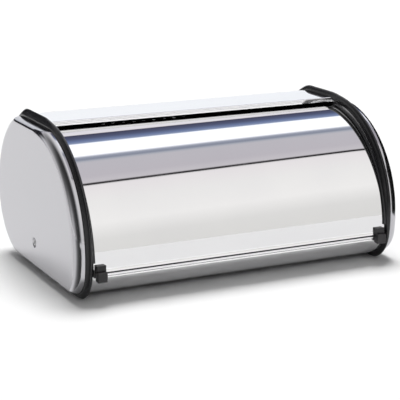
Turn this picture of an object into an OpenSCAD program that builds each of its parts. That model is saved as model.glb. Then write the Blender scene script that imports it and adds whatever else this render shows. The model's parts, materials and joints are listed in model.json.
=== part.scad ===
// Bread box with a roll top: a curved sheet-steel lid turns about two pivots in the
// ends and rolls back under the top panel.  X runs along the box, the front faces -Y,
// and the origin is on the table under the middle of the box and its grips.

/* [Box] */
// Overall length, over the faces of the two end covers
box_l = 436.4; // [406.4:5:486.4]
// Overall depth, over the end frames
box_d = 285; // [283:1:288]
// Height of the end frames' inner edge above the table
box_h = 193.4; // [193:0.1:194]
// Radius of the front of the end frames
front_r = 135.7; // [135:0.1:136]
// Height of the foremost point of the end frames
front_z = 56; // [55.5:0.1:56.5]
// Radius of the lower front corner of the end frames
chin_r = 40; // [38:1:43]
// Rise of the straight stretch between the front and the top, in degrees
brow_a = 8; // [7:0.5:9]
// Radius of the bend between that stretch and the flat top
brow_r = 60; // [50:5:70]
// Radius of the back of the end frames
back_r = 117.5; // [115:0.5:120]
// Height of the rearmost point of the end frames
back_z = 82; // [81:0.5:83]
// Radius of the upper rear corner of the end frames
nape_r = 40; // [38:1:42]

/* [Lid] */
// Outer radius of the lid
lid_r = 139.5; // [138.5:0.1:140]
// Distance of the lid's pivot behind the origin
pivot_y = 1.2; // [0.7:0.1:1.7]
// Height of the lid's pivot above the table
pivot_z = 41.3; // [40.8:0.1:41.8]
// Lowest angle that the closed lid covers, measured up from level at the front
lid_low_a = -4; // [-4.2:0.1:-3.7]
// Highest angle that the closed lid covers, hidden under the top panel
lid_high_a = 90; // [88:0.5:90]
// Angle that the lid opens through, for turning it in this model
lid_open_a = 0; // [0:1:77]

/* [Sheet metal] */
// Thickness of every steel sheet
sheet_t = 0.6; // [0.5:0.1:0.8]
// Depth of the top, back and base sheets below the end frames
sheet_inset = 3.5; // [3:0.5:4]
// Height of the folded front edge of the top panel
hem_h = 6; // [5.5:0.1:6.4]
// Diameter of the vent holes in the back
vent_d = 5; // [3:0.5:6]
// Number of vent holes
vents = 9; // [3:1:15]

/* [End frames and covers] */
// Width of the plastic end frames along X
rim_w = 8.5; // [8:0.5:10]
// How far the frames' rounded crown stands out above their inner edge
crown_up = 2.6; // [1.5:0.1:3]
// How far the frames' outer edge lies below the inner edge at the top
crown_drop = 6.2; // [5:0.2:6.6]
// How far the end covers stand out from the frames
cover_out = 13; // [12.5:0.5:14.5]
// Radius of the rounded edge of the end covers
cover_r = 10.5; // [8.5:0.5:11]
// How far the end covers lie below the top of the frames
cover_drop = 8.6; // [8:0.2:9]
// How far the end covers lie inside the frames elsewhere
cover_inset = 3.6; // [3.4:0.1:4.4]
// Width along X of the lip that hides the lid's ends
lip_w = 2.2; // [2:0.1:2.8]

/* [Fittings] */
// Outer diameter of the pivot bushes, on which the lid's arms turn
bush_d = 8; // [7:0.5:10]
// Width along X of the corner grips
grip_w = 12; // [11:0.5:14]
// How far the feet stand out below the end frames
foot_out = 0.8; // [0.5:0.1:1.2]

/* [Hidden] */
$fn = 96;
left = -1;
right = 1;
eps = 0.01;

steel = "gainsboro";
satin_steel = "silver";
black = [0.08, 0.08, 0.09];
nylon = "ivory";

// Stations along X, for the right end
face_x = box_l / 2;
rim_x1 = face_x - cover_out;
rim_x0 = rim_x1 - rim_w;
plate_x = rim_x0;
ledge_x = rim_x0 + 4;
sheet_x = rim_x0 + 3.8;
lid_x = rim_x0 - 0.5;
grip_x1 = rim_x0 - lip_w - 0.6;

// The end frames lie a little behind the origin, because the grips stand out in front
mid_y = 1.7;

// Centres of the arcs that make the outline of the ends
front_c = [mid_y + front_r - box_d / 2, front_z];
chin_a = asin((front_z - foot_out - chin_r) / (front_r - chin_r));
chin_c = [front_c.x - (front_r - chin_r) * cos(chin_a), foot_out + chin_r];
brow_start = front_c + front_r * [-sin(brow_a), cos(brow_a)];
brow_y = brow_start.x + (box_h - brow_start.y) / tan(brow_a);
brow_c = [brow_y + brow_r * tan(brow_a / 2), box_h - brow_r];
back_c = [mid_y + box_d / 2 - back_r, back_z];
nape_dz = box_h - nape_r - back_z;
nape_c = [back_c.x + sqrt(pow(back_r - nape_r, 2) - nape_dz * nape_dz), box_h - nape_r];
nape_a = asin(nape_dz / (back_r - nape_r));
heel_r = back_z - foot_out;
heel_c = [mid_y + box_d / 2 - heel_r, back_z];
arc_step = 5;
lap = 0.3;

// Pivot and lid
pivot = [pivot_y, pivot_z];
lid_in_r = lid_r - sheet_t;
lip_r0 = lid_r + 0.6;
lip_r1 = lid_r + 2.5;
lip_low_a = 3.5;
lip_high_a = 84;
hem_y = brow_y - 1;
hem_t = 2.4;
bead_r = 1.7;

// Pivot stack along X, from the cover's dimple inwards
dimple_d = 2.4;
screw_seat_x = face_x - dimple_d;
spacer_x = screw_seat_x - sheet_t;
bush_flange_t = 1;
arm_t = 1.2;
arm_gap = 0.3;
bush_x = plate_x - bush_flange_t;
arm_x = bush_x - arm_gap - arm_t;
washer_x = arm_x - arm_gap;
washer_t = 1;
nut_x = washer_x - washer_t;
nut_t = 5;
screw_d = 5;

function polar(c, r, a) = c + r * [cos(a), sin(a)];
function arc(c, r, a0, a1) =
    let (n = max(1, ceil(abs(a1 - a0) / arc_step)))
    [for (i = [0:n]) polar(c, r, a0 + (a1 - a0) * i / n)];

// Outline of an end, drawn in (y, z), moved inwards by d
function outline(d) = concat(
    arc(chin_c, chin_r - d, 270, 180 + chin_a),
    arc(front_c, front_r - d, 180 + chin_a - arc_step, 90 + brow_a + arc_step),
    arc(brow_c, brow_r - d, 90 + brow_a, 90),
    arc(nape_c, nape_r - d, 90, nape_a),
    arc(back_c, back_r - d, nape_a - arc_step, arc_step),
    arc(heel_c, heel_r - d, 0, -90));

// The same outline with its top and its bottom cut off level
module cut_outline(d, top, low) intersection() {
    polygon(outline(d));
    translate([-box_d, low]) square([2 * box_d, top - low]);
}

// Extrudes a (y, z) shape along X from x0 to x1
module along_x(x0, x1)
    translate([x0, 0, 0]) rotate([90, 0, 90]) linear_extrude(x1 - x0) children();

module at_end(side) {
    if (side > 0) children();
    else mirror([1, 0, 0]) children();
}

// A wedge between two angles, for cutting an arc out of a circle
module wedge(c, r, a0, a1)
    polygon(concat([c], [for (i = [0:3]) polar(c, 2 * r, a0 + (a1 - a0) * i / 3)]));

// A sheet bent to an arc, between radii r - t and r, as a (y, z) shape
module bent(c, r, t, a0, a1) intersection() {
    translate(c) difference() {
        circle(r = r);
        circle(r = r - t);
    }
    wedge(c, r, a0, a1);
}

// A cylinder along X at (y, z), from x0 to x1
module rod(c, x0, x1, r)
    translate([x0, c.x, c.y]) rotate([0, 90, 0]) cylinder(r = r, h = x1 - x0);

module lid_turn()
    translate([0, pivot.x, pivot.y]) rotate([-lid_open_a, 0, 0])
        translate([0, -pivot.x, -pivot.y]) children();

// ---- Body sheets ----
seam_y = 35;
seam_lap = 15;
base_z = foot_out + sheet_inset;

module back_panel_shape() {
    // folded front edge, with a rounded top and bottom
    translate([hem_y, box_h - sheet_inset - hem_h + 1.2]) square([hem_t, hem_h - 1.8]);
    translate([hem_y + 1.2, box_h - sheet_inset - hem_h + 1.2]) circle(r = 1.2);
    translate([hem_y + 1.2, box_h - sheet_inset - 1.2]) circle(r = 1.2);
    // flat top
    translate([hem_y + 1.2, box_h - sheet_inset - sheet_t])
        square([nape_c.x - hem_y - 1.2 + lap, sheet_t]);
    bent(nape_c, nape_r - sheet_inset, sheet_t, 90 + lap, nape_a - lap);
    bent(back_c, back_r - sheet_inset, sheet_t, nape_a + lap, -lap);
    bent(heel_c, heel_r - sheet_inset, sheet_t, lap, -90 - lap);
    // flat rear part of the base, which the base tray laps over
    translate([seam_y, base_z]) square([heel_c.x - seam_y + lap, sheet_t]);
}

module back_panel() color(steel) difference() {
    along_x(-sheet_x, sheet_x) back_panel_shape();
    for (i = [0:vents - 1])
        translate([(i - (vents - 1) / 2) * 3 * vent_d, back_c.x, back_c.y])
            rotate([18, 0, 0]) rotate([-90, 0, 0])
                cylinder(d = vent_d, h = back_r);
    for (x = rivet_xs()) rivet_hole(x);
}

lip_top_z = 33;
lip_hem_w = 6;
lip_hem_t = 1.6;
lip_a = 180 + asin((chin_c.y - lip_top_z) / (chin_r - sheet_inset));
lip_top_y = polar(chin_c, chin_r - sheet_inset, lip_a).x + 0.2;

module base_tray_shape() {
    // folded top edge of the front lip
    translate([lip_top_y, lip_top_z - sheet_t]) square([lip_hem_w, lip_hem_t]);
    bent(chin_c, chin_r - sheet_inset, sheet_t, 270 + lap, lip_a - 1);
    translate([chin_c.x - lap, base_z]) square([seam_y - 2 - chin_c.x + lap, sheet_t]);
    // step up and over the back panel's front edge
    translate([seam_y - 2.6, base_z]) square([sheet_t, 2 * sheet_t]);
    translate([seam_y - 2.6, base_z + sheet_t]) square([seam_lap + 2.6, sheet_t]);
}

module base_tray() color(steel) difference() {
    along_x(-sheet_x, sheet_x) base_tray_shape();
    for (x = rivet_xs()) rivet_hole(x);
}

rivet_d = 3;
function rivet_xs() = [for (i = [-2:2]) i * rim_x0 * 0.45];
module rivet_hole(x)
    translate([x, seam_y + seam_lap / 2, base_z - 1]) cylinder(d = rivet_d, h = 4);

module seam_rivets() color(satin_steel)
    for (x = rivet_xs())
        translate([x, seam_y + seam_lap / 2, base_z]) {
            cylinder(d = rivet_d, h = 2 * sheet_t);
            translate([0, 0, -0.8]) cylinder(d = 2 * rivet_d, h = 0.8);
            translate([0, 0, 2 * sheet_t]) cylinder(d = 2 * rivet_d, h = 0.8);
        }

// ---- Ends ----
function screw_spots() = [
    polar(pivot, lid_r - 8.2, 160), polar(pivot, lid_r - 8.2, 118),
    polar(pivot, lid_r - 8.2, 72), polar(pivot, lid_r - 8.2, 28),
    polar(heel_c, heel_r - 13.2, -50), [-20, foot_out + 13.2]];
frame_screw_d = 3;

module end_plate_shape() polygon(outline(sheet_inset + 3));

// Flat steel end wall, with three tabs bent inwards along the body sheets
module end_plate(side) color(satin_steel) at_end(side) {
    tab = 12;
    d = sheet_inset + sheet_t;
    difference() {
        along_x(plate_x, plate_x + sheet_t) end_plate_shape();
        rod(pivot, plate_x - 1, plate_x + 2, screw_d / 2 + 0.1);
        for (p = screw_spots()) rod(p, plate_x - 1, plate_x + 2, frame_screw_d / 2);
    }
    // tabs, with a short web down to the wall
    along_x(plate_x - tab, plate_x + sheet_t / 2) {
        translate([10, box_h - d - sheet_t]) square([40, sheet_t]);
        bent(back_c, back_r - d, sheet_t, 20, 8);
        translate([-60, base_z + sheet_t]) square([40, sheet_t]);
    }
    along_x(plate_x, plate_x + sheet_t) {
        translate([10, box_h - d - 4]) square([40, 4]);
        bent(back_c, back_r - d, 4, 20, 8);
        translate([-60, base_z + sheet_t]) square([40, 4]);
    }
}

// Plastic frame round each end: a bevelled rim, a ledge behind the end plate, a slot for
// the body sheets, a slot for the end cover and the lip over the lid's ends
module end_frame(side) color(black) at_end(side) {
    ledge_d = 10;
    open_d = 16;
    difference() {
        rim_solid();
        along_x(rim_x0 - 1, rim_x1 + 1) intersection() {
            polygon(outline(open_d));
            translate(pivot) circle(r = lid_r - 11);
        }
        along_x(ledge_x, rim_x1 + 1) intersection() {
            polygon(outline(ledge_d));
            translate(pivot) circle(r = lid_r - 5);
        }
        // seat of the end plate
        along_x(rim_x0 - 1, rim_x0 + sheet_t) end_plate_shape();
        tab_slots();
        sheet_slot();
        cover_slot();
        for (p = screw_spots()) rod(p, rim_x0 - 1, ledge_x + 1, frame_screw_d / 2);
        for (y = foot_ys()) foot_block(y, foot_out + foot_sunk);
    }
    lid_lip();
}

module tab_slots() along_x(rim_x0 - 1, rim_x0 + sheet_t) {
    d = sheet_inset + sheet_t;
    translate([10, box_h - d - 4]) square([40, 4 + sheet_t / 2]);
    bent(back_c, back_r - d + sheet_t / 2, 4 + sheet_t / 2, 20, 8);
    translate([-60, base_z + sheet_t / 2]) square([40, 4 + sheet_t / 2]);
}

// Rounded crown: up from the inner edge, then down more steeply towards the cover
module rim_solid() {
    u = crown_up;
    top = box_h + u;
    hull() {
        along_x(rim_x0, rim_x0 + 0.3) cut_outline(0.5 * u, top, foot_out);
        along_x(rim_x0, rim_x0 + 0.14 * rim_w) cut_outline(-0.35 * u, top, foot_out);
        along_x(rim_x0, rim_x0 + 0.32 * rim_w) cut_outline(-0.82 * u, top, foot_out);
        along_x(rim_x0, rim_x0 + 0.53 * rim_w) cut_outline(-u, top, foot_out);
        along_x(rim_x0, rim_x0 + 0.76 * rim_w)
            cut_outline(-0.3 * u, top - 0.4 * (u + crown_drop), foot_out);
        along_x(rim_x0, rim_x1) cut_outline(1.6, box_h - crown_drop, foot_out);
    }
}

// Slot that takes the ends of the body sheets
module sheet_slot() {
    d = sheet_inset;
    t = sheet_t;
    along_x(rim_x0 - 1, sheet_x) {
        translate([hem_y, box_h - d - t]) square([nape_c.x - hem_y + lap, t]);
        bent(nape_c, nape_r - d, t, 90 + lap, nape_a - lap);
        bent(back_c, back_r - d, t, nape_a + lap, -lap);
        bent(heel_c, heel_r - d, t, lap, -90 - lap);
        translate([chin_c.x - lap, base_z]) square([heel_c.x - chin_c.x + 2 * lap, 2 * t]);
        bent(chin_c, chin_r - d, t, 270 + lap, lip_a - 1);
        translate([hem_y, box_h - d - hem_h]) square([hem_t, hem_h]);
        translate([lip_top_y, lip_top_z - t]) square([lip_hem_w, lip_hem_t]);
    }
}

// Outline of the cover, moved inwards by d at the front and back, and by e above and below
module cover_shape(d, e)
    cut_outline(cover_inset + d, box_h - cover_drop - e, foot_out + 9 + e);

module cover_slot() difference() {
    along_x(rim_x1 - 3, rim_x1 + 1) cover_shape(0, 0);
    along_x(rim_x1 - 4, rim_x1 + 2) cover_shape(sheet_t + 0.1, sheet_t + 0.1);
}

// Curved lip that hides the ends of the lid
module lid_lip()
    along_x(rim_x0 - lip_w, rim_x0 + eps)
        bent(pivot, lip_r1, lip_r1 - lip_r0, 180 - lip_low_a, 180 - lip_high_a);

// Deep-drawn end cover, a shallow pan with a dimple for the pivot screw
module end_cover(side) color(satin_steel) at_end(side) difference() {
    union() {
        difference() {
            cover_solid(0);
            cover_solid(sheet_t);
        }
        rod(pivot, spacer_x, face_x - sheet_t / 2, 5.4 + sheet_t);
    }
    translate([screw_seat_x, pivot.x, pivot.y]) rotate([0, 90, 0])
        cylinder(r1 = 4.6, r2 = 5.8, h = dimple_d + eps);
    rod(pivot, spacer_x - 1, face_x, screw_d / 2 + 0.1);
}

module cover_solid(d) {
    steps = 5;
    flat = cover_out - cover_r;
    hull() {
        along_x(rim_x1 - 3 - d, rim_x1 + flat) cover_shape(d, d);
        for (i = [1:steps])
            let (a = 90 * i / steps, r = cover_r - d, k = 1 - cos(a))
            along_x(rim_x1 - 3, rim_x1 + flat + r * sin(a))
                cover_shape(d + r * k, d + 0.35 * cover_r * k);
    }
}

module frame_screws(side) color("dimgray") at_end(side)
    for (p = screw_spots()) {
        rod(p, plate_x, ledge_x, frame_screw_d / 2);
        rod(p, ledge_x, ledge_x + 1.8, frame_screw_d);
    }

// ---- Pivots ----
// Screw with a shallow domed head, seated in the cover's dimple
module pivot_screw(side) color("dimgray") at_end(side) {
    rod(pivot, nut_x - nut_t + 1.5, screw_seat_x, screw_d / 2);
    translate([screw_seat_x, pivot.x, pivot.y]) rotate([0, 90, 0]) difference() {
        cylinder(r1 = 4.4, r2 = 3.4, h = 2);
        for (a = [0, 90]) rotate([0, 0, a]) translate([-2, -0.5, 1]) cube([4, 1, 2]);
    }
}

module spacer(side) color(black) at_end(side) difference() {
    rod(pivot, plate_x + sheet_t, spacer_x, 6);
    rod(pivot, plate_x, spacer_x + 1, screw_d / 2 + 0.1);
}

// Flanged bush that the lid's arm turns on
module pivot_bush(side) color(nylon) at_end(side) difference() {
    union() {
        rod(pivot, bush_x, plate_x, bush_d);
        rod(pivot, washer_x, bush_x, bush_d / 2);
    }
    rod(pivot, washer_x - 1, plate_x + 1, screw_d / 2 + 0.1);
}

module pivot_washer(side) color(satin_steel) at_end(side) difference() {
    rod(pivot, nut_x, washer_x, bush_d);
    rod(pivot, nut_x - 1, washer_x + 1, screw_d / 2 + 0.1);
}

// Hexagonal nut with a closed, domed cap
module cap_nut(side) color(satin_steel) at_end(side) difference() {
    union() {
        translate([nut_x - 3, pivot.x, pivot.y]) rotate([0, 90, 0])
            cylinder(d = 9.2, h = 3, $fn = 6);
        translate([nut_x - nut_t, pivot.x, pivot.y]) rotate([0, 90, 0])
            cylinder(r1 = 2.4, r2 = 3.6, h = 2);
    }
    rod(pivot, nut_x - nut_t + 1.5, nut_x + 1, screw_d / 2);
}

// ---- Feet ----
foot_l = 26;
foot_w = 6;
foot_sunk = 1.2;
function foot_ys() = [chin_c.x + 20, heel_c.x - 20];

module foot_block(y, h)
    translate([rim_x0 + rim_w * 0.42 - foot_w / 2, y - foot_l / 2, 0]) cube([foot_w, foot_l, h]);

module foot(side, i) color([0.16, 0.16, 0.17]) at_end(side)
    foot_block(foot_ys()[i], foot_out + foot_sunk);

// ---- Lid ----
// Lower edge of the lid: two rolled beads, one above the other
module lid_hem_shape()
    for (arc_l = [1.8, 5.2])
        translate(polar(pivot, lid_r + bead_r - 0.9, 180 - lid_low_a - arc_l * 180 / (PI * lid_r)))
            circle(r = bead_r);

module lid_sheet() color(steel) lid_turn() {
    a0 = 180 - lid_low_a;
    a1 = 180 - lid_high_a;
    difference() {
        along_x(-lid_x, lid_x) bent(pivot, lid_r, sheet_t, a0, a1);
        for (side = [left, right]) grip_pin(side, lid_r - 6, lid_r + 6, grip_pin_d / 2);
    }
    along_x(grip_w - grip_x1, grip_x1 - grip_w) lid_hem_shape();
}

// Pin moulded on a grip, which passes through a hole in the lid
grip_pin_d = 5;
module grip_pin(side, r0, r1, r)
    translate([side * (grip_x1 - 0.5 * grip_w), pivot.x, pivot.y])
        rotate([lid_low_a + 4.3, 0, 0]) rotate([90, 0, 0])
            translate([0, 0, r0]) cylinder(r = r, h = r1 - r0);

// Fan-shaped arm from the pivot to the lid, with a flange welded under the lid
module lid_arm(side) color(satin_steel) lid_turn() at_end(side) {
    fan = [120, 156];
    difference() {
        union() {
            along_x(arm_x, arm_x + arm_t) intersection() {
                translate(pivot) circle(r = lid_in_r);
                polygon(concat([pivot + [14, -10], pivot + [-8, -12]],
                    [polar(pivot, 1.2 * lid_r, fan[1]), polar(pivot, 1.2 * lid_r, fan[0])],
                    [pivot + [16, 6]]));
            }
            rod(pivot, arm_x, arm_x + arm_t, 15);
        }
        rod(pivot, arm_x - 1, arm_x + 2, bush_d / 2 + 0.05);
    }
    along_x(arm_x - 12, arm_x) bent(pivot, lid_in_r, arm_t, fan[1] - 1, fan[0] + 1);
}

// Plastic corner piece: holds the corner of the lid, lifts it, and lands on the front lip
module grip(side) color(black) lid_turn() at_end(side) {
    x0 = grip_x1 - grip_w;
    low = 180 - lid_low_a + 1.5;
    land = 180 - lid_low_a - 1.0;
    mid = 180 - lid_low_a - 3.3;
    top = 180 - lid_low_a - 6.2;
    difference() {
        union() {
            along_x(x0, grip_x1) bent(pivot, lid_r + 8.5, 9, low, mid);
            along_x(x0, grip_x1) bent(pivot, lid_r + 4.5, 5, low, top);
            along_x(x0, grip_x1) bent(pivot, lid_r - 0.3, 3.7, land, top);
        }
        // groove for the lid
        along_x(x0 - 1, grip_x1 + 1) bent(pivot, lid_r, sheet_t, low - 1.4, top - 2);
    }
    // the pin holds both halves through the lid
    grip_pin(right, lid_r - 2, lid_r + 2, grip_pin_d / 2 - 0.1);
}

back_panel();
base_tray();
seam_rivets();
end_plate(left);  // left_end_plate
end_plate(right);  // right_end_plate
end_frame(left);  // left_end_frame
end_frame(right);  // right_end_frame
end_cover(left);  // left_end_cover
end_cover(right);  // right_end_cover
frame_screws(left);  // left_frame_screws
frame_screws(right);  // right_frame_screws
pivot_screw(left);  // left_pivot_screw
pivot_screw(right);  // right_pivot_screw
spacer(left);  // left_spacer
spacer(right);  // right_spacer
pivot_bush(left);  // left_pivot_bush
pivot_bush(right);  // right_pivot_bush
pivot_washer(left);  // left_pivot_washer
pivot_washer(right);  // right_pivot_washer
cap_nut(left);  // left_cap_nut
cap_nut(right);  // right_cap_nut
foot(left, 0);  // front_left_foot
foot(right, 0);  // front_right_foot
foot(left, 1);  // rear_left_foot
foot(right, 1);  // rear_right_foot
lid_sheet();
lid_arm(left);  // left_lid_arm
lid_arm(right);  // right_lid_arm
grip(left);  // left_grip
grip(right);  // right_grip
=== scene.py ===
import json
import math

import bpy
import bmesh
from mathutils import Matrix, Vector


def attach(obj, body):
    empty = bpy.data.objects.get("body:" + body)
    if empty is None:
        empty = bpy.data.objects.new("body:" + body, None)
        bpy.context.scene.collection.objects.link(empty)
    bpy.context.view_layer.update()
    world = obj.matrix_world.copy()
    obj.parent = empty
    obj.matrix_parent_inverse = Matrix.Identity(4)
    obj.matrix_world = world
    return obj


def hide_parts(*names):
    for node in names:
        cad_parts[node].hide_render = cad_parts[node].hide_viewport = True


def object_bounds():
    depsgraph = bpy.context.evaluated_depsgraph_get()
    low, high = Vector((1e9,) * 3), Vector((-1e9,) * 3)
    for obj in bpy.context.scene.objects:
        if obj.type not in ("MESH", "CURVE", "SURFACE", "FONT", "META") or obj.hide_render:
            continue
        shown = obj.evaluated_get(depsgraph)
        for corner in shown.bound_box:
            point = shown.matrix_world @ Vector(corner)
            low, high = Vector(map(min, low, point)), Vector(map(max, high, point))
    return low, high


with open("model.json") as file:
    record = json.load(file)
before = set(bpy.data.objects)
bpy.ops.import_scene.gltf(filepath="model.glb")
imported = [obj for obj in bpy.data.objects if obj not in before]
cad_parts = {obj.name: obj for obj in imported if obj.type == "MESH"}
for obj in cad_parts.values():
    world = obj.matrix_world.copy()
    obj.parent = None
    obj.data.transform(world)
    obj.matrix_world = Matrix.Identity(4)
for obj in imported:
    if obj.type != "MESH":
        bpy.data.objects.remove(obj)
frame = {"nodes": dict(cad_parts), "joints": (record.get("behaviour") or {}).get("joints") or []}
cad_low, cad_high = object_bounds()
nodes = frame["nodes"]
MM = 0.001
WELD = 0.000002                   # points closer than this, in metres, are one
ARC_STEP = 1.5                    # degrees between an arc's points, at most


# ---------------------------------------------------------------- sizes, in millimetres
HINGE = frame["joints"][0]["pos_m"]
PIVOT = (HINGE[1] / MM, HINGE[2] / MM)
MID_Y = 1.7                       # middle of the end frames, behind the origin
FACE_X = cad_high[0] / MM         # outer face of the right cover
COVER_OUT = 13.0                  # how far a cover stands out from its frame
FRAME_W = 8.5                     # width of a frame along X
RIM_X1 = FACE_X - COVER_OUT       # outer edge of the right frame
RIM_X0 = RIM_X1 - FRAME_W         # inner edge of the right frame
LID_X = RIM_X0 - 0.5              # right end of the lid
BOX_D = 285.0                     # depth of the ends, without the frames' crown
BOX_H = 193.4                     # height of the ends, without the frames' crown
FRONT_R, FRONT_Z = 135.7, 56.0    # the front's curve and the height of its centre
CHIN_R, FOOT = 40.0, 0.8          # the curve below the front, and the frames' lower edge
BROW_A, BROW_R = 8.0, 60.0        # how the front runs into the top: slope and curve
BACK_R, BACK_Z = 117.5, 82.0      # the back's curve and the height of its centre
NAPE_R = 40.0                     # the curve between the back and the top
CROWN = 2.6                       # how far a frame's crown stands out
LID_R, SHEET_T = 139.5, 0.6
LID_LOW, LID_HIGH = -4.0, 90.0    # tilt of the lid's edges, in degrees above level
COVER_INSET = 3.6                 # a cover's outline lies this far inside the end's
COVER_DROP = 8.6                  # its level top lies this far below the end's
COVER_RISE = 9                    # its level foot lies this far above the frame's
COVER_R = 10.5                    # its rounded edge
COVER_LEVEL_R = 0.35              # share of that rounding on the level edges
LIP_W = 2.2                       # the frame's lip over the lid's ends
LIP_LOW, LIP_HIGH = 3.5, 84       # tilts between which the lip runs, in degrees
GRIP_W = 12.0
GRIP_GAP = 0.6                    # between a grip and the frame's lip
GRIP_IN = RIM_X0 - LIP_W - GRIP_GAP - GRIP_W     # inner side of the right grip
EDGE_DROP = 1.2                   # the rolled edge hangs this far below the sheet's own edge


def cosd(a):
    return math.cos(math.radians(a))


def sind(a):
    return math.sin(math.radians(a))


def asind(v):
    return math.degrees(math.asin(v))


FRONT_C = (MID_Y + FRONT_R - BOX_D / 2, FRONT_Z)
CHIN_A = asind((FRONT_Z - FOOT - CHIN_R) / (FRONT_R - CHIN_R))
CHIN_C = (FRONT_C[0] - (FRONT_R - CHIN_R) * cosd(CHIN_A), FOOT + CHIN_R)
BROW_S = (FRONT_C[0] - FRONT_R * sind(BROW_A), FRONT_C[1] + FRONT_R * cosd(BROW_A))
BROW_Y = BROW_S[0] + (BOX_H - BROW_S[1]) / math.tan(math.radians(BROW_A))
BROW_C = (BROW_Y + BROW_R * math.tan(math.radians(BROW_A / 2)), BOX_H - BROW_R)
BACK_C = (MID_Y + BOX_D / 2 - BACK_R, BACK_Z)
NAPE_DZ = BOX_H - NAPE_R - BACK_Z
NAPE_C = (BACK_C[0] + math.sqrt((BACK_R - NAPE_R) ** 2 - NAPE_DZ ** 2), BOX_H - NAPE_R)
NAPE_A = asind(NAPE_DZ / (BACK_R - NAPE_R))
HEEL_R = BACK_Z - FOOT
HEEL_C = (MID_Y + BOX_D / 2 - HEEL_R, BACK_Z)
HEM_Y = BROW_Y - 1
HEM_TOP = BOX_H - 3.5
HEM_H = 6.0


# ---------------------------------------------------------------- materials
def node_material(name):
    mat = bpy.data.materials.new(name)
    mat.use_nodes = True
    tree = mat.node_tree
    for n in list(tree.nodes):
        tree.nodes.remove(n)
    out = tree.nodes.new("ShaderNodeOutputMaterial")
    bsdf = tree.nodes.new("ShaderNodeBsdfPrincipled")
    tree.links.new(bsdf.outputs[0], out.inputs[0])
    return mat, tree, bsdf


def noise(tree, stretch, scale, detail=3.0, rough=0.55):
    coord = tree.nodes.new("ShaderNodeTexCoord")
    mapping = tree.nodes.new("ShaderNodeMapping")
    mapping.inputs["Scale"].default_value = stretch
    tex = tree.nodes.new("ShaderNodeTexNoise")
    tex.inputs["Scale"].default_value = scale
    tex.inputs["Detail"].default_value = detail
    tex.inputs["Roughness"].default_value = rough
    tree.links.new(coord.outputs["Object"], mapping.inputs["Vector"])
    tree.links.new(mapping.outputs[0], tex.inputs["Vector"])
    return tex.outputs["Fac"]


def ramp(tree, value, low, high, out_low, out_high):
    node = tree.nodes.new("ShaderNodeMapRange")
    node.inputs["From Min"].default_value = low
    node.inputs["From Max"].default_value = high
    node.inputs["To Min"].default_value = out_low
    node.inputs["To Max"].default_value = out_high
    tree.links.new(value, node.inputs["Value"])
    return node.outputs[0]


def colour_ramp(tree, value, stops):
    """Colours along 0 to 1; stops are (place, colour), 32 at most."""
    node = tree.nodes.new("ShaderNodeValToRGB")
    elements = node.color_ramp.elements
    while len(elements) > 1:
        elements.remove(elements[-1])
    for i, (place, colour) in enumerate(stops):
        stop = elements[0] if i == 0 else elements.new(place)
        stop.position = place
        stop.color = (*colour, 1)
    tree.links.new(value, node.inputs[0])
    return node.outputs[0]


def mix_colour(tree, fac, a, b):
    node = tree.nodes.new("ShaderNodeMix")
    node.data_type = "RGBA"
    tree.links.new(fac, node.inputs[0])
    for socket, colour in ((node.inputs[6], a), (node.inputs[7], b)):
        if isinstance(colour, tuple):
            socket.default_value = (*colour, 1)
        else:
            tree.links.new(colour, socket)
    return node.outputs[2]


def bump(tree, bsdf, height, strength, distance):
    node = tree.nodes.new("ShaderNodeBump")
    node.inputs["Strength"].default_value = strength
    node.inputs["Distance"].default_value = distance
    tree.links.new(height, node.inputs["Height"])
    tree.links.new(node.outputs[0], bsdf.inputs["Normal"])


def edge_wear(tree):
    """0 on open faces, 1 along convex edges."""
    geo = tree.nodes.new("ShaderNodeNewGeometry")
    return ramp(tree, geo.outputs["Pointiness"], 0.52, 0.62, 0.0, 1.0)


def steel(name, tint, tint_low, rough, rough_spread, grain_axis, grain_depth, haze):
    """Stainless sheet: fine grain along one axis, faint clouding and finger haze."""
    mat, tree, bsdf = node_material(name)
    stretch = {"x": (4, 900, 900), "z": (900, 900, 6), "none": (260, 260, 260)}[grain_axis]
    grain = noise(tree, stretch, 1.0, 4.0, 0.6)
    cloud = noise(tree, (1, 1, 1), 14.0, 3.0, 0.5)
    smear = noise(tree, (1, 2, 2), 38.0, 2.0, 0.6)
    colour = mix_colour(tree, ramp(tree, cloud, 0.35, 0.7, 0, 1), tint, tint_low)
    worn = mix_colour(tree, edge_wear(tree), colour, (0.86, 0.86, 0.87))
    tree.links.new(worn, bsdf.inputs["Base Color"])
    base = ramp(tree, grain, 0.3, 0.7, rough - rough_spread, rough + rough_spread)
    extra = ramp(tree, smear, 0.5, 0.75, 0.0, haze)
    add = tree.nodes.new("ShaderNodeMath")
    add.operation = "ADD"
    tree.links.new(base, add.inputs[0])
    tree.links.new(extra, add.inputs[1])
    tree.links.new(add.outputs[0], bsdf.inputs["Roughness"])
    bsdf.inputs["Metallic"].default_value = 1.0
    bump(tree, bsdf, grain, 0.25, grain_depth)
    return mat


def plastic(name, dark, light, rough, grain_scale, grain_depth, specular=0.5):
    """Moulded plastic or rubber: fine texture, faint flow clouding, paler worn edges."""
    mat, tree, bsdf = node_material(name)
    grain = noise(tree, (1, 1, 1), grain_scale, 4.0, 0.6)
    cloud = noise(tree, (1, 1, 1), 30.0, 3.0, 0.5)
    colour = mix_colour(tree, ramp(tree, cloud, 0.3, 0.7, 0, 1), dark, light)
    worn_tone = tuple(min(1.0, c * 1.8 + 0.02) for c in light)
    worn = mix_colour(tree, edge_wear(tree), colour, worn_tone)
    tree.links.new(worn, bsdf.inputs["Base Color"])
    tree.links.new(ramp(tree, grain, 0.3, 0.7, rough - 0.06, rough + 0.08),
                   bsdf.inputs["Roughness"])
    bsdf.inputs["Specular IOR Level"].default_value = specular
    bump(tree, bsdf, grain, 0.35, grain_depth)
    return mat


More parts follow.
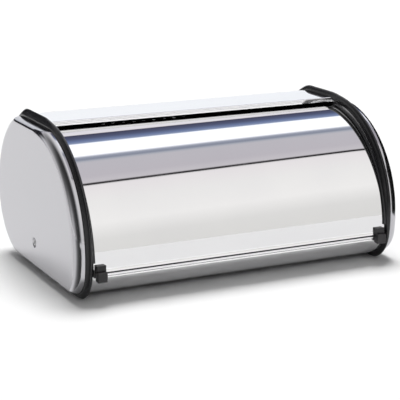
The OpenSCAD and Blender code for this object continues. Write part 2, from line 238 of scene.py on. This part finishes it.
BRIGHT, BRIGHT_CLOUD = (0.68, 0.675, 0.68), (0.655, 0.65, 0.66)
MIRROR = steel("bright_steel", BRIGHT, BRIGHT_CLOUD, rough=0.035, rough_spread=0.015,
               grain_axis="x", grain_depth=0.000003, haze=0.02)
TOP_STEEL = steel("bright_top_steel", BRIGHT, BRIGHT_CLOUD, rough=0.05, rough_spread=0.015,
                  grain_axis="x", grain_depth=0.000003, haze=0.02)
COVER = steel("cover_steel", (0.50, 0.495, 0.518), (0.50, 0.495, 0.52), rough=0.13,
              rough_spread=0.03, grain_axis="z", grain_depth=0.000003, haze=0.02)
PLAIN = steel("plain_steel", (0.60, 0.60, 0.61), (0.52, 0.52, 0.53), rough=0.30,
              rough_spread=0.06, grain_axis="z", grain_depth=0.000010, haze=0.06)
DARK = steel("dark_steel", (0.045, 0.045, 0.05), (0.03, 0.03, 0.034), rough=0.40,
             rough_spread=0.06, grain_axis="none", grain_depth=0.000008, haze=0.05)
FRAME_PLASTIC = plastic("black_frame_plastic", (0.006, 0.006, 0.007), (0.012, 0.012, 0.014),
                        rough=0.24, grain_scale=2600, grain_depth=0.00002, specular=0.45)
GRIP_PLASTIC = plastic("black_grip_plastic", (0.008, 0.007, 0.008), (0.030, 0.028, 0.031),
                       rough=0.36, grain_scale=1500, grain_depth=0.00008, specular=0.4)
RUBBER = plastic("black_rubber", (0.020, 0.020, 0.020), (0.035, 0.034, 0.033),
                 rough=0.75, grain_scale=1800, grain_depth=0.00006, specular=0.3)
NYLON = plastic("natural_nylon", (0.72, 0.69, 0.62), (0.80, 0.78, 0.72),
                rough=0.45, grain_scale=1600, grain_depth=0.00003)


# ---------------------------------------------------------------- mesh helpers
def finished(name, mesh, bm, mat, body, sharp):
    """Writes the built mesh and makes its piece, smooth but for edges past sharp degrees."""
    bm.to_mesh(mesh)
    bm.free()
    mesh.materials.append(mat)
    mesh.shade_smooth()
    mesh.set_sharp_from_angle(angle=math.radians(sharp))
    obj = bpy.data.objects.new(name, mesh)
    bpy.context.scene.collection.objects.link(obj)
    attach(obj, body)
    return obj


def make(name, verts, faces, mat, body, sharp):
    """A piece from points in millimetres."""
    mesh = bpy.data.meshes.new(name)
    mesh.from_pydata([(x * MM, y * MM, z * MM) for x, y, z in verts], [], faces)
    bm = bmesh.new()
    bm.from_mesh(mesh)
    bmesh.ops.remove_doubles(bm, verts=bm.verts, dist=WELD)
    bmesh.ops.dissolve_degenerate(bm, edges=bm.edges, dist=WELD)
    bmesh.ops.recalc_face_normals(bm, faces=bm.faces)
    return finished(name, mesh, bm, mat, body, sharp)


def loft(rings, close_rings=False):
    """Joins rings of the same length, lists of (x, y, z).

    close_rings joins the last ring to the first; without it the two ends are capped.
    """
    verts = [p for ring in rings for p in ring]
    n, m = len(rings[0]), len(rings)
    faces = []
    for k in range(m if close_rings else m - 1):
        a, b = k * n, ((k + 1) % m) * n
        for i in range(n):
            j = (i + 1) % n
            faces.append((a + i, a + j, b + j, b + i))
    if not close_rings:
        faces.append(tuple(range(n)))
        faces.append(tuple((m - 1) * n + i for i in reversed(range(n))))
    return verts, faces


def polar(c, r, a):
    return (c[0] + r * cosd(a), c[1] + r * sind(a))


def lid_point(t, r):
    """Point at tilt t above level and radius r from the pivot, in (y, z)."""
    return polar(PIVOT, r, 180 - t)


def arc(c, r, a0, a1):
    n = max(1, math.ceil(abs(a1 - a0) / ARC_STEP))
    return [polar(c, r, a0 + (a1 - a0) * i / n) for i in range(n + 1)]


def outline(d, top=None, low=None):
    """The D-shaped outline of an end in (y, z), moved inwards by d and cut off level."""
    pts = arc(CHIN_C, CHIN_R - d, 270, 180 + CHIN_A)
    pts += arc(FRONT_C, FRONT_R - d, 180 + CHIN_A, 90 + BROW_A)[1:]
    pts += arc(BROW_C, BROW_R - d, 90 + BROW_A, 90)
    pts += arc(NAPE_C, NAPE_R - d, 90, NAPE_A)
    pts += arc(BACK_C, BACK_R - d, NAPE_A, 0)[1:]
    pts += arc(HEEL_C, HEEL_R - d, 0, -90)[1:]
    top = 1e9 if top is None else top
    low = -1e9 if low is None else low
    return [(y, min(max(z, low), top)) for y, z in pts]


def at_x(pts, x):
    return [(x, y, z) for y, z in pts]


# ---------------------------------------------------------------- end frames
def frame_rings():
    """Rings round the frame's section: the crowned outside, the cover's seat, the inside."""
    u = CROWN
    top = BOX_H + u
    # share of the width, how far inside the end's outline, and the height of the level top
    outer = [
        (0.00, 1.5 * u, top), (0.02, 0.9 * u, top), (0.07, 0.25 * u, top),
        (0.14, -0.25 * u, top), (0.22, -0.58 * u, top), (0.31, -0.80 * u, top),
        (0.41, -0.95 * u, top), (0.50, -u, top), (0.58, -0.92 * u, top - 0.7),
        (0.66, -0.72 * u, top - 1.9), (0.76, -0.38 * u, top - 3.6),
        (0.86, 0.04 * u, top - 5.5), (0.94, 0.40 * u, top - 7.1),
        (0.985, 0.62 * u, top - 8.3), (1.00, 0.95 * u, top - 9.3)]
    rings = [at_x(outline(d, z_top, FOOT), RIM_X0 + k * FRAME_W)
             for k, d, z_top in outer]
    seat_in, seat_top = COVER_INSET + 0.15, BOX_H - COVER_DROP
    inner = [
        (RIM_X1, seat_in, seat_top - 0.15, FOOT + 9.1),
        (RIM_X1 - 3, seat_in, seat_top - 0.15, FOOT + 9.1),
        (RIM_X1 - 3.2, seat_in + 1, seat_top - 1.2, FOOT + 10),
        (RIM_X0 + 4, 10, BOX_H - 16, FOOT + 14),
        (RIM_X0 + 4, 16, None, None), (RIM_X0 + 0.6, 16, None, None),
        (RIM_X0 + 0.6, 6.5, None, None), (RIM_X0, 6.5, None, None)]
    return rings + [at_x(outline(d, z_top, z_low), x) for x, d, z_top, z_low in inner]


def mirrored(verts, side):
    return verts if side > 0 else [(-x, y, z) for x, y, z in verts]


def end_frame(side, name):
    verts, faces = loft(frame_rings(), close_rings=True)
    # the lip over the lid's ends, with rounded edges
    r0, r1 = LID_R + 0.6, LID_R + 2.5
    lip = RIM_X0 - LIP_W
    section = [(RIM_X0 + 0.4, r0), (lip + 0.3, r0), (lip, r0 + 0.3),
               (lip, r1 - 0.6), (lip + 0.2, r1 - 0.2), (lip + 0.6, r1),
               (RIM_X0 + 0.4, r1)]
    steps = 80
    tilts = [LIP_LOW + (LIP_HIGH - LIP_LOW) * i / steps for i in range(steps + 1)]
    lip_verts, lip_faces = loft([[(x, *lid_point(t, r)) for x, r in section] for t in tilts])
    base = len(verts)
    verts += lip_verts
    faces += [tuple(base + k for k in face) for face in lip_faces]
    obj = make(name + "_moulding", mirrored(verts, side), faces, FRAME_PLASTIC, "body",
               38)
    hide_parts(name)


end_frame(-1, "left_end_frame")
end_frame(1, "right_end_frame")


# ---------------------------------------------------------------- end covers
def add_rings(bm, loops):
    """Adds closed rings of points in millimetres, with faces from each to the next."""
    grid = [[bm.verts.new([c * MM for c in p]) for p in ring] for ring in loops]
    n = len(loops[0])
    for a, b in zip(grid, grid[1:]):
        for i in range(n):
            j = (i + 1) % n
            bm.faces.new((a[i], a[j], b[j], b[i]))


def end_cover(side, name):
    """A pressed cover: walls in the frame's seat, a rounded edge, a flat dimpled face."""
    top0, low0 = BOX_H - COVER_DROP, FOOT + COVER_RISE
    flat = FACE_X - RIM_X1 - COVER_R
    rings = [(RIM_X1 - 3, 0.0, 0.0), (RIM_X1, 0.0, 0.0), (RIM_X1 + 0.8 * flat, 0.0, 0.0)]
    steps = 12
    for i in range(steps + 1):
        a = 90 * i / steps
        k = 1 - cosd(a)
        rings.append((RIM_X1 + flat + COVER_R * sind(a), COVER_R * k,
                      COVER_LEVEL_R * COVER_R * k))
    rings.append((FACE_X, COVER_R + 0.8, COVER_LEVEL_R * COVER_R + 0.8))
    loops = [at_x(outline(COVER_INSET + d, top0 - e, low0 + e), x) for x, d, e in rings]
    bm = bmesh.new()
    add_rings(bm, loops)
    # dimple for the pivot screw: rounded lip, cone, flat seat
    dimple = [(FACE_X, 7.4), (FACE_X, 6.6), (FACE_X - 0.12, 6.2), (FACE_X - 0.45, 5.85),
              (FACE_X - 1.95, 4.95), (FACE_X - 2.3, 4.6), (FACE_X - 2.4, 4.2),
              (FACE_X - 2.4, 2.6)]
    around = 48
    add_rings(bm, [[(x, *polar(PIVOT, r, 360 * i / around)) for i in range(around)]
                   for x, r in dimple])
    bmesh.ops.remove_doubles(bm, verts=bm.verts, dist=WELD)
    edges = [e for e in bm.edges if len(e.link_faces) == 1 and
             all(abs(v.co.x - FACE_X * MM) < 1e-7 for v in e.verts)]
    bmesh.ops.triangle_fill(bm, edges=edges, use_beauty=True)
    if side < 0:
        for v in bm.verts:
            v.co.x = -v.co.x
    bmesh.ops.recalc_face_normals(bm, faces=bm.faces)
    piece = name + "_pressing"
    obj = finished(piece, bpy.data.meshes.new(piece), bm, COVER, "body", 50)
    solid = obj.modifiers.new("sheet", "SOLIDIFY")
    solid.thickness = SHEET_T * MM
    solid.offset = -1
    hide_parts(name)


end_cover(-1, "left_end_cover")
end_cover(1, "right_end_cover")


# ---------------------------------------------------------------- lid
def lid_sheet():
    """The curved sheet, with its two ends' edges eased."""
    a0, a1, n = LID_LOW, LID_HIGH, 150
    edge = 0.15
    lid = []
    for x, e in ((-LID_X, edge), (-LID_X + edge, 0), (LID_X - edge, 0), (LID_X, edge)):
        ring = [lid_point(a0 + (a1 - a0) * i / n, LID_R - e) for i in range(n + 1)]
        ring += [lid_point(a1 - (a1 - a0) * i / n, LID_R - SHEET_T + e) for i in range(n + 1)]
        lid.append(at_x(ring, x))
    verts, faces = loft(lid)
    obj = make("lid_curved_sheet", verts, faces, MIRROR, "lid", 30)
    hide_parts("lid_sheet")


lid_sheet()


def along_lid(length):
    """Tilt at an arc length above the lid's lower edge, in millimetres."""
    return LID_LOW + length / LID_R * 180 / math.pi


def lid_band(name, profile, depth, mat, sharp):
    """A band along the lid's lower edge from (arc length, height above the sheet) pairs."""
    def place(length, out):
        return lid_point(along_lid(length - EDGE_DROP), LID_R + out)

    high, low = profile[0][0], profile[-1][0]
    front = [place(length, out) for length, out in profile]
    back = [place(low + (high - low) * k / 6, -depth) for k in range(7)]
    x1 = GRIP_IN + 0.6
    verts, faces = loft([at_x(front + back, -x1), at_x(front + back, x1)])
    make(name, verts, faces, mat, "lid", sharp)


def lid_hem():
    """Flare, groove and two rolled beads along the lid's lower edge, with a black strip laid in
    the groove as painted shade.
    """
    lid_band("lid_rolled_edge", [
        (11.5, 0.03), (10.6, 0.08), (9.8, 0.22), (9.0, 0.50), (8.4, 0.85), (7.9, 1.20),
        (7.65, 1.38), (7.5, 1.35), (7.42, 1.10), (7.40, 0.35), (7.35, 0.20), (5.95, 0.20),
        (5.85, 0.90), (5.6, 1.60), (5.2, 2.15), (4.7, 2.45), (4.2, 2.50), (3.7, 2.30),
        (3.25, 1.85), (2.95, 1.30), (2.8, 1.00), (2.65, 1.30), (2.35, 1.85), (1.9, 2.30),
        (1.4, 2.45), (0.9, 2.30), (0.45, 1.95), (0.1, 1.40), (0.0, 0.80), (0.1, 0.25)],
        0.3, MIRROR, 60)
    # painted shade: a black plastic strip fills the groove above the beads and stands in for the
    # groove's shadow
    lid_band("lid_groove_painted_shade", [(7.37, 0.25), (7.2, 0.48), (6.1, 0.48), (5.93, 0.25)],
             -0.1, FRAME_PLASTIC, 60)


lid_hem()


def grip_block(name, t0, t1, out, x0, x1, round_mm):
    """A block on the lid between two tilts, bent to its curve, with rounded edges."""
    r0, r1, parts = LID_R + 0.02, LID_R + out, 8
    rings = []
    for x in (x0, x1):
        ring = [lid_point(t0 + (t1 - t0) * i / parts, r1) for i in range(parts + 1)]
        ring += [lid_point(t1 + (t0 - t1) * i / parts, r0) for i in range(parts + 1)]
        rings.append(at_x(ring, x))
    verts, faces = loft(rings)
    obj = make(name, verts, faces, GRIP_PLASTIC, "lid", 40)
    mod = obj.modifiers.new("round", "BEVEL")
    mod.width = round_mm * MM
    mod.segments = 3
    mod.limit_method = "ANGLE"
    mod.angle_limit = math.radians(35)
    mod.harden_normals = False
    return obj


def grip(side, name):
    """A stepped moulding: the landing block below, the clamping block above it."""
    x0, x1 = GRIP_IN, GRIP_IN + GRIP_W
    if side < 0:
        x0, x1 = -x1, -x0
    landing = grip_block(name + "_moulding", LID_LOW - 1.5, LID_LOW + 3.35, 8.4, x0, x1, 0.8)
    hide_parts(name)
    grip_block(name + "_clamp", LID_LOW + 3.25, LID_LOW + 6.2, 4.5, x0 + 0.2, x1 - 0.2, 0.7)


grip(-1, "left_grip")
grip(1, "right_grip")


# ---------------------------------------------------------------- top panel's folded edge
def hem_trim():
    """Front of the folded edge: two fine creases between three flat bands."""
    z0, z1 = HEM_TOP - HEM_H + 0.4, HEM_TOP - 0.9
    creases, half_w, depth = (0.48, 0.84), 0.06, 0.55
    marks = [0.0]
    for f in creases:
        marks += [f - half_w, f, f + half_w]
    marks.append(1.0)
    front = [(HEM_Y - 0.45 + (depth if f in creases else 0.0), z0 + (z1 - z0) * f)
             for f in marks]
    back = [(HEM_Y + 0.3, z1), (HEM_Y + 0.3, z0)]
    x1 = RIM_X0 + 0.2
    verts, faces = loft([at_x(front + back, -x1), at_x(front + back, x1)])
    make("top_hem_face", verts, faces, TOP_STEEL, "body", 20)


hem_trim()


# ---------------------------------------------------------------- carried-over CAD nodes
finish_of = {}
for n in nodes:
    if n in ("back_panel", "base_tray", "lid_sheet"):
        finish_of[n] = TOP_STEEL
    elif "cover" in n:
        finish_of[n] = COVER
    elif "end_frame" in n or "spacer" in n:
        finish_of[n] = FRAME_PLASTIC
    elif "grip" in n:
        finish_of[n] = GRIP_PLASTIC
    elif "foot" in n:
        finish_of[n] = RUBBER
    elif "bush" in n:
        finish_of[n] = NYLON
    elif "pivot_screw" in n or "frame_screws" in n:
        finish_of[n] = DARK
    else:
        finish_of[n] = PLAIN
for n, obj in nodes.items():
    mesh = obj.data
    mesh.materials.clear()
    mesh.materials.append(finish_of[n])
    mesh.polygons.foreach_set("use_smooth", [True] * len(mesh.polygons))
    mesh.set_sharp_from_angle(angle=math.radians(30))


# ---------------------------------------------------------------- stage
def stage_plane(name, corners, mat):
    mesh = bpy.data.meshes.new(name)
    mesh.from_pydata(corners, [], [tuple(range(len(corners)))])
    mesh.materials.append(mat)
    obj = bpy.data.objects.new(name, mesh)
    bpy.context.scene.collection.objects.link(obj)
    return obj


def floor_material():
    mat, tree, bsdf = node_material("floor")
    tone = noise(tree, (1, 1, 1), 3.0)
    colour = mix_colour(tree, tone, (0.88, 0.88, 0.88), (0.90, 0.90, 0.90))
    tree.links.new(colour, bsdf.inputs["Base Color"])
    bsdf.inputs["Roughness"].default_value = 0.9
    bsdf.inputs["Specular IOR Level"].default_value = 0.1
    return mat


def card_material(name, level):
    mat, tree, bsdf = node_material(name)
    bsdf.inputs["Base Color"].default_value = (level, level, level, 1)
    bsdf.inputs["Roughness"].default_value = 1.0
    bsdf.inputs["Specular IOR Level"].default_value = 0.0
    return mat


FLOOR_Z = -0.0001                 # just below the feet, in metres as all of the stage
REACH = 9.0
stage_plane("floor", [(x * REACH, y * REACH, FLOOR_Z)
                      for x, y in ((-1, -1), (1, -1), (1, 1), (-1, 1))], floor_material())


def card(name, corners, level):
    """A gray card that is seen only in reflections."""
    obj = stage_plane(name, corners, card_material(name, level))
    obj.visible_camera = False
    obj.visible_diffuse = False
    obj.visible_shadow = False
    return obj


CARD_X = 0.46                     # the upright cards stand this far to either side
CARD_LOW = 0.0004                 # lower edge of the cards, just above the floor
CARD_FRONT, CARD_BACK, CARD_TOP = -0.9, -0.02, 0.075
DARK_Y, DARK_TOP = 0.45, 0.35     # half the length of the dark card, and its top
CORNER = (-0.20, -0.10)           # near the box's front left corner, where the shade turns
CORNER_X = CORNER[0] - 0.02
# degrees round that corner from level left, and brightness
SHADES = [(-10, 0.95), (10, 0.95), (19, 0.88), (26, 0.65), (33, 0.42), (43, 0.20),
          (59, 0.08), (80, 0.05), (86, 0.30)]


def shaded_card(name, corners):
    """A card that darkens around the box's front left corner."""
    obj = card(name, corners, 0.0)
    tree = obj.data.materials[0].node_tree
    bsdf = next(n for n in tree.nodes if n.type == "BSDF_PRINCIPLED")
    coord = tree.nodes.new("ShaderNodeTexCoord")
    split = tree.nodes.new("ShaderNodeSeparateXYZ")
    tree.links.new(coord.outputs["Object"], split.inputs[0])
    turn = tree.nodes.new("ShaderNodeMath")
    turn.operation = "ARCTAN2"
    tree.links.new(ramp(tree, split.outputs[1], CORNER[1] - 1, CORNER[1] + 1, 1.0, -1.0),
                   turn.inputs[0])
    tree.links.new(ramp(tree, split.outputs[0], CORNER[0] - 1, CORNER[0] + 1, 1.0, -1.0),
                   turn.inputs[1])
    low, high = SHADES[0][0], SHADES[-1][0]
    place = ramp(tree, turn.outputs[0], math.radians(low), math.radians(high), 0.0, 1.0)
    shade = colour_ramp(tree, place, [((a - low) / (high - low), (level,) * 3)
                                      for a, level in SHADES])
    tree.links.new(shade, bsdf.inputs["Emission Color"])
    bsdf.inputs["Emission Strength"].default_value = 1.0
    return obj


shaded_card("shaded_left", [
    (-CARD_X, CARD_FRONT, CARD_LOW), (-CARD_X, CARD_BACK, CARD_LOW),
    (-CARD_X, CARD_BACK, CARD_TOP), (-CARD_X, CARD_FRONT, CARD_TOP)])
shaded_card("shaded_front_left", [
    (CORNER_X, CORNER[1], CARD_LOW), (-CARD_X, CARD_BACK, CARD_LOW),
    (-CARD_X, CARD_FRONT, CARD_LOW), (CORNER_X, CARD_FRONT, CARD_LOW)])
card("dark_right", [
    (CARD_X, -DARK_Y, CARD_LOW), (CARD_X, DARK_Y, CARD_LOW),
    (CARD_X, DARK_Y, DARK_TOP), (CARD_X, -DARK_Y, DARK_TOP)], 0.01)


# ---------------------------------------------------------------- world
# Brightness of the studio around the box, by the angle from level in front, over the
# top, to level behind; seen in the steel as bands along its length. Each pair is an angle
# in degrees and a colour.
BANDS = [
    (-20, (0.93, 0.925, 0.90)), (0, (0.93, 0.925, 0.90)), (14, (0.955, 0.95, 0.93)),
    (30, (1.14, 1.13, 1.11)), (52, (1.09, 1.08, 1.065)), (67.8, (1.05, 1.01, 1.02)),
    (69.6, (1.03, 1.00, 1.01)), (70.2, (0.01, 0.009, 0.01)), (71.9, (0.01, 0.009, 0.01)),
    (72.9, (0.74, 0.71, 0.75)), (80, (0.66, 0.63, 0.68)), (97, (0.66, 0.64, 0.69)),
    (99, (0.54, 0.56, 0.63)), (101.2, (0.30, 0.33, 0.42)), (104.5, (0.45, 0.48, 0.58)),
    (107.0, (1.45, 1.47, 1.52)), (118, (1.50, 1.51, 1.55)), (124.8, (1.45, 1.48, 1.58)),
    (126.6, (0.33, 0.40, 0.58)), (130, (0.20, 0.26, 0.46)), (135, (0.11, 0.13, 0.23)),
    (142.8, (0.07, 0.07, 0.12)), (143.6, (1.00, 0.97, 1.02)), (151.5, (0.90, 0.88, 0.95)),
    (152.5, (0.012, 0.010, 0.022)), (158.5, (0.012, 0.010, 0.022)),
    (160.5, (0.95, 0.98, 1.03)), (172, (0.99, 1.01, 1.04)), (185, (1.0, 1.0, 1.02))]


# The bands run slightly askew: how much they turn with how far a direction points to the
# right, from where, to where and about which middle.
SKEW, SKEW_FROM, SKEW_TO, SKEW_MID = 0.60, 0.33, 0.52, 0.4235
# Beyond the left end the room is darker; each pair is how far a direction points to the
# right, from -1 to 1, and a brightness.
FADE = [(-1.08, 0.90), (-0.97, 0.62), (-0.90, 0.42), (-0.83, 0.22), (-0.75, 0.13),
        (-0.60, 0.075), (-0.30, 0.05), (-0.22, 0.08), (-0.10, 0.35), (0.0, 0.65),
        (0.2, 1.20)]
FADE_SLANT, FADE_LEVEL = 0.097, 50      # the fade leans with the angle, about this one
REAR_FROM, REAR_TO = 95, 165            # angles between which the fade lightens
REAR_TONE = (0.43, 0.43, 0.43)
SIDE_X, SIDE_Y = (0.20, 0.29), (0.74, 0.82)     # where the fade gives way to the bands
# the dark room low at the back on the left: where its sides, front and top fade out
ROOM_LEFT, ROOM_RIGHT = (-0.56, -0.48), (-0.06, 0.06)
ROOM_FRONT, ROOM_TOP = (0.2, 0.4), (0.42, 0.5)
ROOM_TONE = (0.01, 0.01, 0.012)
WORLD_GAIN = 2.0                        # colours are stored divided by this, to stay under 1


def build_world():
    world = bpy.data.worlds.new("studio")
    bpy.context.scene.world = world
    world.use_nodes = True
    tree = world.node_tree
    for n in list(tree.nodes):
        tree.nodes.remove(n)
    out = tree.nodes.new("ShaderNodeOutputWorld")
    back = tree.nodes.new("ShaderNodeBackground")
    tree.links.new(back.outputs[0], out.inputs[0])
    coord = tree.nodes.new("ShaderNodeTexCoord")
    split = tree.nodes.new("ShaderNodeSeparateXYZ")
    tree.links.new(coord.outputs["Generated"], split.inputs[0])

    def math_node(op, a, b=None):
        node = tree.nodes.new("ShaderNodeMath")
        node.operation = op
        for socket, value in zip(node.inputs, (a, b)):
            if value is None:
                continue
            if isinstance(value, (int, float)):
                socket.default_value = value
            else:
                tree.links.new(value, socket)
        return node.outputs[0]

    x, y, z = split.outputs
    angle = math_node("ARCTAN2", z, math_node("MULTIPLY", y, -1.0))
    along = math_node("MINIMUM", math_node("MAXIMUM", x, SKEW_FROM), SKEW_TO)
    askew = math_node("MULTIPLY", math_node("SUBTRACT", along, SKEW_MID), SKEW)
    angle = math_node("SUBTRACT", angle, askew)
    start = BANDS[0][0]
    span = BANDS[-1][0] - start
    place = math_node("DIVIDE", math_node("SUBTRACT", angle, math.radians(start)),
                      math.radians(span))
    bands = colour_ramp(tree, place, [((a - start) / span, tuple(c / WORLD_GAIN for c in colour))
                                      for a, colour in BANDS])

    # beyond the left end: the fade, lighter behind, then a dark room low at the back
    slant = math_node("MULTIPLY", math_node("SUBTRACT", angle, math.radians(FADE_LEVEL)),
                      FADE_SLANT)
    low, high = FADE[0][0], FADE[-1][0]
    across = ramp(tree, math_node("ADD", x, slant), low, high, 0.0, 1.0)
    fade = colour_ramp(tree, across, [((a - low) / (high - low), (v / WORLD_GAIN,) * 3)
                                      for a, v in FADE])
    rear = math_node("POWER", ramp(tree, angle, math.radians(REAR_FROM),
                                   math.radians(REAR_TO), 0.0, 1.0), 2.0)
    fade = mix_colour(tree, rear, fade, REAR_TONE)
    side = math_node("MULTIPLY", ramp(tree, x, *SIDE_X, 1.0, 0.0),
                     ramp(tree, y, *SIDE_Y, 1.0, 0.0))
    room = mix_colour(tree, side, bands, fade)
    left = math_node("MULTIPLY", ramp(tree, x, *ROOM_RIGHT, 1.0, 0.0),
                     ramp(tree, x, *ROOM_LEFT, 0.0, 1.0))
    behind = ramp(tree, y, *ROOM_FRONT, 0.0, 1.0)
    under = ramp(tree, z, *ROOM_TOP, 1.0, 0.0)
    dark = math_node("MULTIPLY", math_node("MULTIPLY", left, behind), under)
    colour = mix_colour(tree, dark, room, ROOM_TONE)
    tree.links.new(colour, back.inputs[0])
    back.inputs[1].default_value = WORLD_GAIN
    # the room is seen in the steel; the suns below light the scene
    world.cycles_visibility.diffuse = False


build_world()


def sun(name, azimuth, elevation, spread, strength):
    """A soft light from far off. Azimuth turns it from behind towards the right."""
    light = bpy.data.lights.new(name, "SUN")
    light.energy = strength
    light.angle = math.radians(spread)
    obj = bpy.data.objects.new(name, light)
    towards = Vector((sind(azimuth) * cosd(elevation), cosd(azimuth) * cosd(elevation),
                      sind(elevation)))
    obj.rotation_euler = (-towards).to_track_quat("-Z", "Y").to_euler()
    bpy.context.scene.collection.objects.link(obj)
    obj.visible_glossy = False
    obj.visible_camera = False


sun("sky", azimuth=0, elevation=90, spread=150, strength=1.02)
sun("back_softbox", azimuth=22, elevation=71, spread=30, strength=2.82)


# ---------------------------------------------------------------- camera
CAMERA_AT = (-0.769, -1.5948, 0.518)
CAMERA_TURN, CAMERA_DOWN = 25.92, 14.16   # degrees round to the left, and down
CAMERA_LENS = 128.5
cam_data = bpy.data.cameras.new("camera")
cam_data.lens = CAMERA_LENS
cam_data.sensor_width = 36
cam_data.clip_end = 60
cam = bpy.data.objects.new("camera", cam_data)
cam.location = CAMERA_AT
cam.rotation_euler = (math.radians(90 - CAMERA_DOWN), 0, math.radians(-CAMERA_TURN))
bpy.context.scene.collection.objects.link(cam)
bpy.context.scene.camera = cam
bpy.context.scene.view_settings.view_transform = "Standard"
